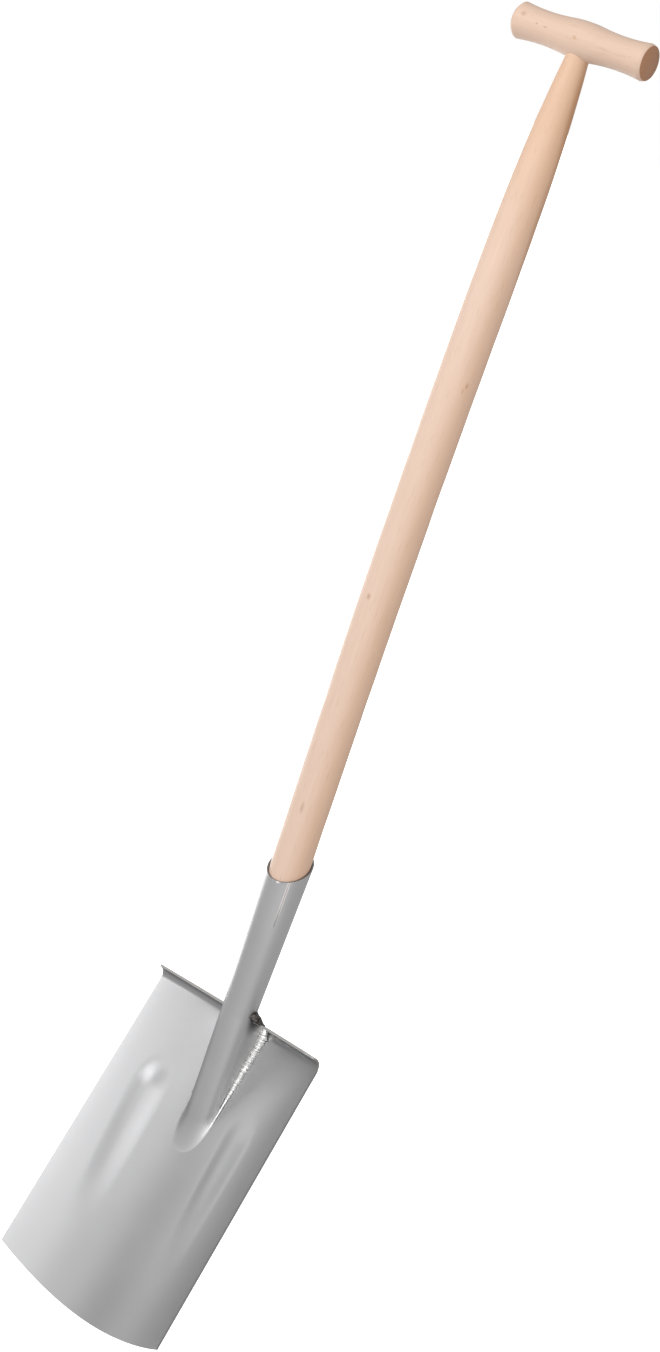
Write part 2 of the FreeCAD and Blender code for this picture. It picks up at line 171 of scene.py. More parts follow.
def addNode(tree, kind, settings=None, inputs=None):
    node = tree.nodes.new("ShaderNode" + kind)
    for name, value in (settings or {}).items():
        setattr(node, name, value)
    for name, value in (inputs or {}).items():
        if isinstance(value, bpy.types.NodeSocket):
            tree.links.new(value, node.inputs[name])
        else:
            node.inputs[name].default_value = value
    return node


# A soft oval spot of another colour on what is already there, its half sizes in mm.
def addSpot(tree, place, tone, centre, size, colour, amount):
    shift = addNode(tree, "VectorMath", {"operation": "SUBTRACT"}, {0: place, 1: centre})
    squeeze = addNode(tree, "VectorMath", {"operation": "DIVIDE"}, {
        0: shift.outputs[0], 1: [length * mm for length in size]})
    away = addNode(tree, "VectorMath", {"operation": "LENGTH"}, {0: squeeze.outputs[0]})
    near = addNode(tree, "MapRange", {"interpolation_type": "SMOOTHSTEP"}, {
        0: away.outputs["Value"], 1: 0.2, 2: 1.0, 3: amount, 4: 0.0})
    return addNode(tree, "Mix", {"data_type": "RGBA"}, {
        0: near.outputs[0], 6: tone, 7: linear(colour)}).outputs[2]


# A line of another colour from one point to another, fading over its second half.
def addStripe(tree, place, tone, start, finish, half, colour, amount):
    run = finish - start
    along = run.normalized()
    shift = addNode(tree, "VectorMath", {"operation": "SUBTRACT"}, {0: place, 1: start})
    reach = addNode(tree, "VectorMath", {"operation": "DOT_PRODUCT"}, {0: shift.outputs[0], 1: along})
    aside = addNode(tree, "VectorMath", {"operation": "CROSS_PRODUCT"}, {0: shift.outputs[0], 1: along})
    away = addNode(tree, "VectorMath", {"operation": "LENGTH"}, {0: aside.outputs[0]})
    near = addNode(tree, "MapRange", {"interpolation_type": "SMOOTHSTEP"}, {
        0: away.outputs["Value"], 1: half * 0.5, 2: half, 3: amount, 4: 0.0})
    fade = addNode(tree, "MapRange", {"interpolation_type": "SMOOTHSTEP"}, {
        0: reach.outputs["Value"], 1: run.length * 0.5, 2: run.length, 3: 1.0, 4: 0.0})
    share = addNode(tree, "Math", {"operation": "MULTIPLY"}, {0: near.outputs[0], 1: fade.outputs[0]})
    return addNode(tree, "Mix", {"data_type": "RGBA"}, {
        0: share.outputs[0], 6: tone, 7: linear(colour)}).outputs[2]


# Silver lacquer on sheet steel: flake in a clear binder, sprayed on, so it is even with a soft wide gloss.
lacquer = {
    "clouds": 45.0,            # mm across one pass of the spray gun, which shows as a faint change of tone
    "glossSwing": 0.04,
    "metallic": 0.85,
}


def silverLacquer(name, colours, rough, burnsAndShade=(), seam=None):
    material, tree, shader = newMaterial(name)
    place = addNode(tree, "TexCoord").outputs["Object"]
    clouds = addNode(tree, "TexNoise", inputs={
        "Vector": place, "Scale": 1 / (lacquer["clouds"] * mm), "Detail": 3.0})
    tone = addNode(tree, "Mix", {"data_type": "RGBA"}, {
        0: clouds.outputs["Fac"], 6: linear(colours[0]), 7: linear(colours[1])}).outputs[2]
    for centre, size, colour, amount in burnsAndShade:
        tone = addSpot(tree, place, tone, centre, size, colour, amount)
    # The stripe along the seam is lighter: partly bare metal at the seam's edges, partly a painted
    # highlight.
    if seam:
        tone = addStripe(tree, place, tone, *seam)
    tree.links.new(tone, shader.inputs["Base Color"])
    swing = lacquer["glossSwing"]
    gloss = addNode(tree, "MapRange", inputs={
        0: clouds.outputs["Fac"], 3: rough - swing, 4: rough + swing})
    tree.links.new(gloss.outputs[0], shader.inputs["Roughness"])
    shader.inputs["Metallic"].default_value = lacquer["metallic"]
    return material


# Steel that the lacquer misses: grey at a sheared edge, and nearly black inside the socket, where it is
# mill scale together with painted shade.
bareSteel = {
    "scratches": 1.5,          # mm from one drag mark to the next
    "glossSwing": 0.08,
}


def uncoatedSteel(name, colour, rough):
    material, tree, shader = newMaterial(name)
    place = addNode(tree, "TexCoord").outputs["Object"]
    scratches = addNode(tree, "TexNoise", inputs={
        "Vector": place, "Scale": 1 / (bareSteel["scratches"] * mm), "Detail": 2.0})
    swing = bareSteel["glossSwing"]
    gloss = addNode(tree, "MapRange", inputs={
        0: scratches.outputs["Fac"], 3: rough - swing, 4: rough + swing})
    tree.links.new(gloss.outputs[0], shader.inputs["Roughness"])
    shader.inputs["Base Color"].default_value = linear(colour)
    shader.inputs["Metallic"].default_value = 1.0
    return material


# Turned and sanded beech under thin clear varnish: even and pinkish, with short darker flecks on the grain.
beech = {
    "figure": 30.0,            # mm across a broad paler or darker patch
    "pores": 2.2,              # mm between lines of pores, coarser than real ones so that they show
    "flecks": 1.8,             # mm between the short darker flecks
    "endRings": 1.2,           # mm between rings on the sawn ends
    "alongGrain": 0.06,        # how far the pattern is squeezed along the grain, which draws it out
    "poreDepth": 0.1,          # mm
    "roughness": 0.5,
    "varnish": 0.3,            # the thin coat reflects less than a thick one
}


def turnedBeech(name, colours, along, knotsAndShade, shadeTints=(), endGrain=None):
    material, tree, shader = newMaterial(name)
    place = addNode(tree, "TexCoord").outputs["Object"]
    stretch = [1.0, 1.0, 1.0]
    stretch[along] = beech["alongGrain"]
    grain = addNode(tree, "Mapping", inputs={"Vector": place, "Scale": stretch}).outputs[0]
    broad = addNode(tree, "TexNoise", inputs={
        "Vector": grain, "Scale": 1 / (beech["figure"] * mm), "Detail": 3.0, "Distortion": 0.6})
    fine = addNode(tree, "TexNoise", inputs={
        "Vector": grain, "Scale": 1 / (beech["pores"] * mm), "Detail": 4.0})
    fleck = addNode(tree, "TexVoronoi", inputs={"Vector": grain, "Scale": 1 / (beech["flecks"] * mm)})
    tone = addNode(tree, "Mix", {"data_type": "RGBA"}, {
        0: broad.outputs["Fac"], 6: linear(colours[0]), 7: linear(colours[1])}).outputs[2]
    streak = addNode(tree, "MapRange", inputs={0: fine.outputs["Fac"], 1: 0.42, 2: 0.75, 3: 0.0, 4: 0.35})
    tone = addNode(tree, "Mix", {"data_type": "RGBA"}, {
        0: streak.outputs[0], 6: tone, 7: linear(colours[2])}).outputs[2]
    dot = addNode(tree, "MapRange", inputs={
        0: fleck.outputs["Distance"], 1: 0.08, 2: 0.22, 3: 0.30, 4: 0.0})
    tone = addNode(tree, "Mix", {"data_type": "RGBA"}, {
        0: dot.outputs[0], 6: tone, 7: linear(colours[3])}).outputs[2]
    for centre, size, colour, amount in knotsAndShade:
        tone = addSpot(tree, place, tone, centre, size, colour, amount)
    parts = addNode(tree, "SeparateXYZ", inputs={0: place})
    for axis, start, finish, colour, amount in shadeTints:
        near = addNode(tree, "MapRange", {"interpolation_type": "SMOOTHSTEP"}, {
            0: parts.outputs[axis], 1: start, 2: finish, 3: 0.0, 4: amount})
        tone = addNode(tree, "Mix", {"data_type": "RGBA"}, {
            0: near.outputs[0], 6: tone, 7: linear(colour)}).outputs[2]
    if endGrain:
        half, colour, ring = endGrain
        reach = addNode(tree, "Math", {"operation": "ABSOLUTE"}, {0: parts.outputs[0]})
        atEnd = addNode(tree, "Math", {"operation": "GREATER_THAN"}, {
            0: reach.outputs[0], 1: (half - 0.1) * mm})
        rings = addNode(tree, "TexNoise", inputs={
            "Vector": place, "Scale": 1 / (beech["endRings"] * mm), "Detail": 4.0})
        grown = addNode(tree, "Mix", {"data_type": "RGBA"}, {
            0: rings.outputs["Fac"], 6: linear(colour), 7: linear(ring)}).outputs[2]
        tone = addNode(tree, "Mix", {"data_type": "RGBA"}, {
            0: atEnd.outputs[0], 6: tone, 7: grown}).outputs[2]
    tree.links.new(tone, shader.inputs["Base Color"])
    bump = addNode(tree, "Bump", inputs={
        "Strength": 0.25, "Distance": beech["poreDepth"] * mm, "Height": fine.outputs["Fac"]})
    tree.links.new(bump.outputs[0], shader.inputs["Normal"])
    shader.inputs["Roughness"].default_value = beech["roughness"]
    shader.inputs["Specular IOR Level"].default_value = beech["varnish"]
    return material


# Bare weld metal and wire: bright where it set or was drawn, with sooty or dull hollows between.
weld = {
    "lumps": 2.5,              # mm across a lump
    "lumpDepth": 0.6,          # mm
    "sootWidth": 0.15,
}


def weldMetal(name, bright, dark, rough, sootFrom):
    material, tree, shader = newMaterial(name)
    place = addNode(tree, "TexCoord").outputs["Object"]
    lumps = addNode(tree, "TexNoise", inputs={
        "Vector": place, "Scale": 1 / (weld["lumps"] * mm), "Detail": 4.0})
    soot = addNode(tree, "MapRange", inputs={
        0: lumps.outputs["Fac"], 1: sootFrom, 2: sootFrom + weld["sootWidth"], 3: 0.0, 4: 1.0})
    tone = addNode(tree, "Mix", {"data_type": "RGBA"}, {
        0: soot.outputs[0], 6: linear(bright), 7: linear(dark)}).outputs[2]
    tree.links.new(tone, shader.inputs["Base Color"])
    bump = addNode(tree, "Bump", inputs={
        "Strength": 0.8, "Distance": weld["lumpDepth"] * mm, "Height": lumps.outputs["Fac"]})
    tree.links.new(bump.outputs[0], shader.inputs["Normal"])
    shader.inputs["Roughness"].default_value = rough
    shader.inputs["Metallic"].default_value = 1.0
    return material


# The blade: one pressed sheet, drawn as its front face, from the cutting edge up and over into the treads.
blade = {
    "dishRadius": 167.0,       # mm, as are all lengths here, and heights are up from the fold
    "dishAxis": -136.3,        # the hollow's axis, in front of the shaft's axis
    "sheet": 2.0,
    "halfTop": 91.0,
    "halfEdge": 93.5,
    "side": 270.7,             # mm from the fold down to a corner of the cutting edge
    "edgeRadius": 228.0,       # the cutting edge's curve
    "foldRadius": 8.4,
    "treadReach": 128.9,       # from the hollow's axis to the treads' front edge
    "treadBow": 1030.0,        # the curve of the treads' front edge
    "leftCorner": 2.0,
    "rightCorner": 14.0,
    "notch": 17.6,             # half the width of the notch round the socket
    "notchRadius": 18.0,
    "notchCentre": 129.7,
    "ribTop": -57.0,
    "ribFoot": -225.0,
    "ribHalf": 17.0,
    "ribBlunt": 0.20,          # the share of its length over which a rib rises at its top
    "ribLevel": 0.35,          # where it starts to fade towards its foot
    "ribHead": 0.6,            # its width at the top, beside its full width
    "ribNarrow": 0.2,          # how much narrower it is at its foot
    "ribCrest": 1.8,           # over 1 draws its sides out softly
    "ribLines": [(-54.0, -49.0, 3.0), (47.0, 51.0, 2.2)],    # middle at the top and foot, and height
    "waveDepth": 0.15,         # the pressing leaves the sheet faintly uneven
    "waveLength": 60.0,
    "waveFrom": 20.0,          # the unevenness is in full this far below the fold
    "edgeEase": 0.5,
    "bladeRows": 120,
    "foldRows": 12,
    "treadRows": 8,
}


def ribRise(x, up):
    share = (blade["ribTop"] - up) / (blade["ribTop"] - blade["ribFoot"])
    rise = 0.0
    if 0 < share < 1:
        blunt = smooth(share / blade["ribBlunt"])
        fade = 1 - smooth((share - blade["ribLevel"]) / (1 - blade["ribLevel"]))
        for top, foot, tall in blade["ribLines"]:
            wide = blade["ribHalf"] * (1 - blade["ribNarrow"] * share)
            wide *= mix(blade["ribHead"], 1, math.sqrt(blunt))
            across = abs(x - mix(top, foot, share)) / wide
            if across < 1:
                rise += tall * blunt * fade * (1 - across ** 2) ** blade["ribCrest"]
    return rise


# How far back the blade's front face is.
def dishFront(x, up):
    wave = blade["waveDepth"] * noise.noise(Vector((x, up, 0)) / blade["waveLength"])
    radius = blade["dishRadius"] - ribRise(x, up) + wave * smooth(-up / blade["waveFrom"])
    return blade["dishAxis"] + math.sqrt(radius ** 2 - x ** 2)


# How far back the treads' edge is from the hollow's axis, round the notch and both corners.
def treadEdge(x):
    reach = blade["treadReach"]
    leftEnd = blade["leftCorner"] - blade["halfTop"]
    rightEnd = blade["halfTop"] - blade["rightCorner"]
    if abs(x) <= blade["notch"] + 0.001:
        return blade["notchCentre"] + math.sqrt(blade["notchRadius"] ** 2 - x ** 2)
    for corner, past in ((blade["rightCorner"], x - rightEnd), (blade["leftCorner"], leftEnd - x)):
        if past > 0:
            return reach + corner - math.sqrt(max(0, corner ** 2 - past ** 2))
    bow = blade["treadBow"]
    middle = (leftEnd + rightEnd) / 2
    half = (rightEnd - leftEnd) / 2
    return reach + math.sqrt(bow ** 2 - (x - middle) ** 2) - math.sqrt(bow ** 2 - half ** 2)


halfTop = blade["halfTop"]
notchEnd = blade["notch"] + 0.05       # one narrow column on each side keeps the notch's corners sharp
bladeAcross = spread(
    [-halfTop, blade["leftCorner"] - halfTop, -notchEnd, -blade["notch"], blade["notch"], notchEnd,
     halfTop - blade["rightCorner"], halfTop],
    [3, 36, 1, 18, 1, 30, 12])


def bladePoint(column, row):
    x = bladeAcross[column]
    share = x / blade["halfTop"]
    fold = blade["foldRadius"]
    if row <= blade["bladeRows"]:
        atEdge = share * blade["halfEdge"]
        drop = math.sqrt(blade["edgeRadius"] ** 2 - atEdge ** 2)
        drop -= math.sqrt(blade["edgeRadius"] ** 2 - blade["halfEdge"] ** 2)
        up = -(blade["side"] + drop) * (1 - row / blade["bladeRows"])
        x = share * mix(blade["halfTop"], blade["halfEdge"], min(1, -up / blade["side"]))
        x *= 1 - blade["sheet"] / (blade["dishRadius"] + blade["sheet"])      # the back comes out wider
        return onBlade(x, dishFront(x, up), up)
    edge = treadEdge(x)
    inward = (blade["dishRadius"] - math.hypot(edge, x)) / fold
    turnEnd = math.acos(1 - min(1, max(0, inward)))
    foldShare = min(1, (row - blade["bladeRows"]) / blade["foldRows"])
    turn = turnEnd * foldShare
    radius = blade["dishRadius"] - fold * (1 - math.cos(turn))
    x *= 1 - math.cos(turn) * blade["sheet"] / (blade["dishRadius"] + blade["sheet"])
    y = math.sqrt(radius ** 2 - x ** 2)
    flatShare = max(0, row - blade["bladeRows"] - blade["foldRows"]) / blade["treadRows"]
    if flatShare > 0 and inward > 1:
        y = mix(y, edge, flatShare)
    return onBlade(x, blade["dishAxis"] + y, fold * math.sin(turn))


bladeSteel = silverLacquer("silver lacquer on pressed steel", ["#a4a4a5", "#a9a9aa"], 0.34)
bareEdge = uncoatedSteel("sheared steel edge", "#918f8d", 0.45)
bladeUp = blade["bladeRows"] + blade["foldRows"] + blade["treadRows"]
shape = wrapGrid(len(bladeAcross) - 1, bladeUp, bladePoint)
mergeSheet(shape)
bladePiece = makePiece("bladeSheet", shape, bladeSteel, ["blade"])
giveWall(bladePiece, blade["sheet"], blade["edgeEase"], bareEdge)
print("blade done")

# The socket: a tube rolled from sheet. Below the treads its front runs on down the blade, with side walls.
socket = {
    "heelRadius": 15.5,
    "heelTop": 8.2,
    "mouthRadius": 19.4,
    "mouthUp": 153.5,
    "mouthSlant": 30.5,
    "wall": 1.6,
    "wallEase": 0.35,
    "tipSquare": 0.78,         # under 1 makes the tip squarer than a half circle
    "tipNarrow": 0.86,         # the left of the tip is drawn in
    "footPasses": 30,          # rounds of finding where a line down the tip meets the sheet
    "mouthPasses": 8,
    "fillet": 14.0,            # the round where the socket's lower end is smoothed into the sheet
    "filletLeast": 0.4,        # the same at its sides, where the beads are
    "filletFrom": -55.0,
    "filletRun": 65.0,
    "rootDepth": 0.35,         # how far its foot goes into the sheet
    "sideSpread": 0.45,        # how much of the round goes sideways at the walls
    "seamAngle": 42.0,         # degrees round to the right from the front
    "seamHalf": 0.5,           # half the seam's gap, in degrees
    "seamFoot": 101.5,
    "burnAndShadeAt": (17.0, 2.0, 11.0),       # where the collar's heat darkened the lacquer, with painted shade of the corner by the tread added
    "burnAndShadeSize": (14.0, 14.0, 20.0),
    "tubeRows": 60,
    "wallRows": 50,
}
seamLow = socket["seamAngle"] - socket["seamHalf"]
seamHigh = socket["seamAngle"] + socket["seamHalf"]
socketRound = spread([-180, -90, 0, seamLow, seamHigh, 90, 180], [20, 28, 14, 1, 15, 20])


def tubeRadius(up):
    share = (up - socket["heelTop"]) / (socket["mouthUp"] - socket["heelTop"])
    return mix(socket["heelRadius"], socket["mouthRadius"], min(1, max(0, share)))


# How far back the middle of the blade's sheet is, over the fold too.
def sheetMiddle(x, up):
    radius = blade["dishRadius"] + blade["sheet"] / 2
    if up > 0:
        bend = blade["foldRadius"] + blade["sheet"] / 2
        radius = blade["dishRadius"] - blade["foldRadius"] + math.sqrt(max(0, bend ** 2 - up ** 2))
    return blade["dishAxis"] + math.sqrt(radius ** 2 - x ** 2)


# The foot of one line down the socket's tip, where it meets the sheet, in the blade's own axes.
def tipFoot(angle):
    radius, square = socket["heelRadius"], socket["tipSquare"]
    x = radius * math.copysign(abs(math.sin(angle)) ** square, math.sin(angle))
    if x < 0:
        x *= socket["tipNarrow"]
    y = -radius * abs(math.cos(angle)) ** square
    up = 0.0
    for _ in range(socket["footPasses"]):
        down = (y * leanCos - sheetMiddle(x, up)) / leanSin
        up = y * leanSin + down * leanCos
    return Vector((x, sheetMiddle(x, up), up))


# Where a side wall's edge meets the sheet: share 0 is at the tube's widest point and 1 is under the tread.
def sideFoot(share):
    x = socket["heelRadius"]
    up = mix(tipFoot(math.pi / 2).z, socket["heelTop"], share)
    return Vector((x, sheetMiddle(x, up), up))


# Takes a place near the foot outwards, so that the metal runs into the sheet in a round.
def flared(spot, out):
    lower = smooth((socket["filletFrom"] - spot.z) / socket["filletRun"])
    fillet = mix(socket["filletLeast"], socket["fillet"], lower)
    depth = socket["rootDepth"]
    stand = sheetMiddle(spot.x, spot.z) - spot.y - blade["sheet"] / 2
    near = min(1, max(0, 1 - (stand + depth) / (fillet + depth)))
    spot = spot + out * fillet * (1 - math.sqrt(1 - near ** 2))
    spot.y = sheetMiddle(spot.x, spot.z) - max(stand, -depth) - blade["sheet"] / 2
    return onBlade(*spot)


# The tube, from its slanted mouth down to the treads.
def tubePoint(degrees, share):
    side, front = math.sin(math.radians(degrees)), -math.cos(math.radians(degrees))
    radius = socket["mouthRadius"]
    for _ in range(socket["mouthPasses"]):
        topUp = socket["mouthUp"] + radius * front * math.tan(math.radians(socket["mouthSlant"]))
        radius = tubeRadius(topUp)
    treadMiddle = blade["foldRadius"] + blade["sheet"] / 2
    footUp = (treadMiddle - socket["heelRadius"] * front * leanSin) / leanCos
    up = mix(topUp, footUp, share)
    radius = tubeRadius(up)
    return onShaft(radius * side, radius * front, up)


# Below the treads: the rounded front down to its tip, and a side wall behind it on each side.
def lowerPoint(degrees, share):
    radius, topUp = socket["heelRadius"], socket["heelTop"]
    topBack = -topUp * leanSin / leanCos
    if abs(degrees) <= 90:
        side, front = math.sin(math.radians(degrees)), -math.cos(math.radians(degrees))
        top = Vector((radius * side, radius * front / leanCos + topBack, topUp))
        foot = tipFoot(math.radians(degrees))
        spot = top.lerp(foot, share)
        spot.x = mix(top.x, foot.x, smooth(share))
        return flared(spot, Vector((side * socket["sideSpread"], 0, front)))
    part = (abs(degrees) - 90) / 90
    x = math.copysign(radius, degrees)
    top = Vector((x, topBack, topUp)).lerp(Vector((x, sheetMiddle(x, topUp), topUp)), part)
    foot = sideFoot(part)
    foot.x = x
    oneRow = 1 / socket["wallRows"]
    share = max(0.0, share - oneRow) / (1 - oneRow)
    return flared(top.lerp(foot, share), Vector((math.copysign(socket["sideSpread"], degrees), 0, 0)))


def socketPoint(column, row):
    degrees = socketRound[column]
    if row <= socket["tubeRows"]:
        return tubePoint(degrees, row / socket["tubeRows"])
    return lowerPoint(degrees, (row - socket["tubeRows"]) / socket["wallRows"])


def onSeam(up):
    radius = tubeRadius(up)
    turn = math.radians(socket["seamAngle"])
    return onShaft(radius * math.sin(turn), -radius * math.cos(turn), up)


def inSeam(centre):
    angle = math.degrees(math.atan2(centre.x, axisBack - centre.y))
    up = (centre.z - foldUp) / mm
    return abs(angle - socket["seamAngle"]) < socket["seamHalf"] and up > socket["seamFoot"]


socketSteel = silverLacquer(
    "silver lacquer on rolled steel", ["#b6b5b6", "#bcbbbb"], 0.42,
    # A dark spot beside the collar: partly heat tint, partly painted shade in the corner between socket and
    # tread.
    [(onBlade(*socket["burnAndShadeAt"]), socket["burnAndShadeSize"], "#4b4747", 0.8)],
    # A light stripe down the seam: partly bare metal, partly a painted highlight.
    (onSeam(socket["mouthUp"]), onSeam(socket["seamFoot"]), 1.5 * mm, "#e8e2de", 0.85))
shape = wrapGrid(len(socketRound) - 1, socket["tubeRows"] + socket["wallRows"], socketPoint)
seamFaces = [face for face in shape.faces if inSeam(face.calc_center_median())]
bmesh.ops.delete(shape, geom=seamFaces, context="FACES")
bmesh.ops.reverse_faces(shape, faces=shape.faces)      # outwards, so that the wall goes in
mergeSheet(shape)
socketPiece = makePiece("socketTube", shape, socketSteel, ["socket"])
# Inside the socket: mill scale, made near-black as painted shade of the tube's inside.
millScaleAndShade = uncoatedSteel("mill scale and painted shade inside the socket", "#2b2826", 0.6)
giveWall(socketPiece, socket["wall"], socket["wallEase"], bareEdge, millScaleAndShade)
print("socket done")

# Weld beads: laid in the corners between the socket's walls and the blade, narrowing to the socket's tip.
bead = {
    "right": 4.8,
    "left": 1.8,
    "tip": 0.3,
    "ripple": 2.3,             # mm from one ripple to the next
    "rippleDepth": 0.14,
    "along": 220,
    "round": 18,
    "wallShare": 0.6,          # the share of a bead that is along the side wall
    "topForward": 3.0,
    "topUp": 2.0,
    "topShare": 0.12,          # the share of its length that is swung up and forward under the tread
    "narrowShare": 0.6,
    "endShare": 0.025,
    "standForward": 0.9,       # its middle, in front of the sheet and outside the wall
    "standOut": 1.3,
    "tipOut": 0.6,
    "uneven": 0.3,
    "pitting": 0.12,
    "sunk": 0.3,               # how much of the bead's back half is left, so it stays inside the sheet
}


# The middle of a bead, from under the tread along the side wall and round to the middle of the tip.
def beadPath(share, side):
    if share < bead["wallShare"]:
        foot = sideFoot(1 - share / bead["wallShare"])
        out = Vector((1, 0, 0))
    else:
        angle = math.pi / 2 * (1 - (share - bead["wallShare"]) / (1 - bead["wallShare"]))
        foot = tipFoot(angle * side)
        foot.x *= side
        out = Vector((math.sin(angle), 0, -math.cos(angle) * bead["tipOut"]))
    atTop = 1 - smooth(share / bead["topShare"])
    forward = blade["sheet"] / 2 + bead["standForward"] + bead["topForward"] * atTop
    foot = foot + Vector((0, -forward, bead["topUp"] * atTop)) + out * bead["standOut"]
    foot.x *= side
    return onBlade(*foot)


def makeBead(name, side, radius, material, node):
    spots = [beadPath(step / bead["along"], side) for step in range(bead["along"] + 1)]
    lengths = [0.0]
    for last, spot in zip(spots, spots[1:]):
        lengths.append(lengths[-1] + (spot - last).length / mm)

    def beadPoint(column, row):
        before = spots[max(0, row - 1)]
        after = spots[min(bead["along"], row + 1)]
        ahead = (after - before).normalized()
        across = ahead.cross(Vector((0, 1, 0))).normalized()
        outward = across.cross(ahead)
        share = row / bead["along"]
        size = mix(radius, bead["tip"], smooth((share - bead["topShare"]) / bead["narrowShare"]))
        size *= 1 + bead["rippleDepth"] * math.sin(2 * math.pi * lengths[row] / bead["ripple"])
        size *= 1 + bead["uneven"] * noise.noise(spots[row] / mm * 0.3)
        size *= min(1, share / bead["endShare"], (1 - share) / bead["endShare"] + 0.001)
        turn = 2 * math.pi * column / bead["round"]
        swell = outward * math.sin(turn)
        if swell.y > 0:
            swell *= bead["sunk"]
        spot = spots[row] + (across * math.cos(turn) + swell) * size * mm
        return spot + (spots[row] - spot) * bead["pitting"] * noise.noise(spot / mm * 0.8)

    shape = wrapGrid(bead["round"], bead["along"], beadPoint)
    closeUp(shape)
    return makePiece(name, shape, material, [node])


# The two beads are one weld metal in lit and shaded copies: the right bead's near-white colours are painted
# light, the left bead's dull ones painted shade.
litWeldCopy = weldMetal("weld metal with painted light", "#f0f0ee", "#a3a19f", 0.34, 0.62)
shadedWeldCopy = weldMetal("weld metal with painted shade", "#a9a9a8", "#7c7a79", 0.5, 0.5)
makeBead("weldRight", 1, bead["right"], litWeldCopy, "weld_right")
makeBead("weldLeft", -1, bead["left"], shadedWeldCopy, "weld_left")
print("beads done")

# The collar: a lump of burnt weld where the socket comes through the treads, heaviest at the right. Its
# near-black colour is partly the burnt weld's own and partly painted shade of the corner behind the socket.
collar = {
    "reach": 11.0,
    "height": 8.5,
    "start": 66.0,             # degrees round from the front, by the right, to the left of the back
    "end": 240.0,
    "startRun": 22.0,          # degrees over which it swells and dies away
    "endRun": 30.0,
    "thinFrom": 120.0,
    "thinRun": 60.0,
    "thinner": 0.45,           # how much less of it there is at the back
    "inward": -1.0,
    "under": -1.5,
    "bumps": [(0.33, 1.3), (0.9, 0.5)],        # each one's pitch per mm and its height
    "bumpOut": 0.7,
    "bumpUp": 0.5,
    "along": 120,
    "round": 28,
}


def collarPoint(column, row):
    degrees = mix(collar["start"], collar["end"], row / collar["along"])
    angle = math.radians(degrees)
    swell = 0.001 + min(
        smooth((degrees - collar["start"]) / collar["startRun"]),
        smooth((collar["end"] - degrees) / collar["endRun"]))
    swell *= 1 - collar["thinner"] * smooth((degrees - collar["thinFrom"]) / collar["thinRun"])
    radius = socket["heelRadius"]
    treadTop = blade["foldRadius"] + blade["sheet"]
    back = (-radius * math.cos(angle) - treadTop * leanSin) / leanCos
    base = Vector((radius * math.sin(angle), back, treadTop))
    out = Vector((math.sin(angle), -math.cos(angle), 0))
    up = Vector((0, -leanSin, leanCos))
    turn = column / collar["round"]
    if turn <= 0.5:
        bend = math.sin(turn * math.pi)
        offset = out * (collar["reach"] * bend ** 1.2) + up * (collar["height"] * (1 - bend) ** 0.8)
    else:
        closing = (turn - 0.5) * 4     # first in under the lump, then up beside the tube
        offset = out * mix(collar["reach"], collar["inward"], min(1, closing))
        offset += up * mix(collar["under"], collar["height"], max(0, closing - 1))
    spot = base + offset * swell
    bump = sum(noise.noise(spot * pitch) * height for pitch, height in collar["bumps"])
    spot += (out * collar["bumpOut"] + up * collar["bumpUp"]) * bump * swell
    return onBlade(*spot)


burntWeldAndShade = weldMetal("burnt weld metal with painted shade", "#5d5856", "#2f2c2b", 0.48, 0.45)
shape = wrapGrid(collar["round"], collar["along"], collarPoint)
closeUp(shape)
makePiece("weldCollar", shape, burntWeldAndShade, ["weld_collar"])
print("collar done")

# The shaft: turned, bowed a little to the front, thin in the socket and drawn in under the grip.
shaft = {
    "foot": 60.0,
    "mouthUp": 153.5,
    "swellUp": 455.0,
    "taperUp": 575.0,
    "top": 878.0,
    "footRadius": 14.4,
    "neckRadius": 17.3,
    "fullRadius": 18.0,
    "topRadius": 10.0,
    "bow": 8.5,
    "bowTop": 871.0,
    "taperPower": 4,
    "facetDepth": 0.45,        # the turner's gouge leaves long shallow hollows
    "facetLength": 60.0,
    "facetPitch": 1.4,
    "round": 72,
    "along": 240,
}


def shaftRadius(up):
    if up < shaft["mouthUp"]:
        share = (up - shaft["foot"]) / (shaft["mouthUp"] - shaft["foot"])
        return mix(shaft["footRadius"], shaft["neckRadius"], share)
    if up < shaft["swellUp"]:
        share = (up - shaft["mouthUp"]) / (shaft["swellUp"] - shaft["mouthUp"])
        return mix(shaft["neckRadius"], shaft["fullRadius"], 0.5 - 0.5 * math.cos(math.pi * share))
    share = max(0, up - shaft["taperUp"]) / (shaft["bowTop"] - shaft["taperUp"])
    return mix(shaft["fullRadius"], shaft["topRadius"], min(1, share) ** shaft["taperPower"])


def shaftBow(up):
    share = max(0, up - shaft["mouthUp"]) / (shaft["bowTop"] - shaft["mouthUp"])
    return max(0, shaft["bow"] * math.sin(math.pi * share))


def shaftPoint(column, row):
    share = min(1, max(0, (row - 1) / (shaft["along"] - 2)))
    up = mix(shaft["foot"], shaft["top"], share)
    radius = 0 if row in (0, shaft["along"]) else shaftRadius(up)
    turn = 2 * math.pi * column / shaft["round"]
    around = Vector((math.sin(turn), math.cos(turn), up / shaft["facetLength"])) * shaft["facetPitch"]
    radius -= shaft["facetDepth"] * max(0, noise.noise(around)) * min(1, radius)
    return onShaft(radius * math.sin(turn), -radius * math.cos(turn) - shaftBow(up), up)


def atShaftFace(up, degrees):
    radius, turn = shaftRadius(up), math.radians(degrees)
    return onShaft(radius * math.sin(turn), -radius * math.cos(turn) - shaftBow(up), up)


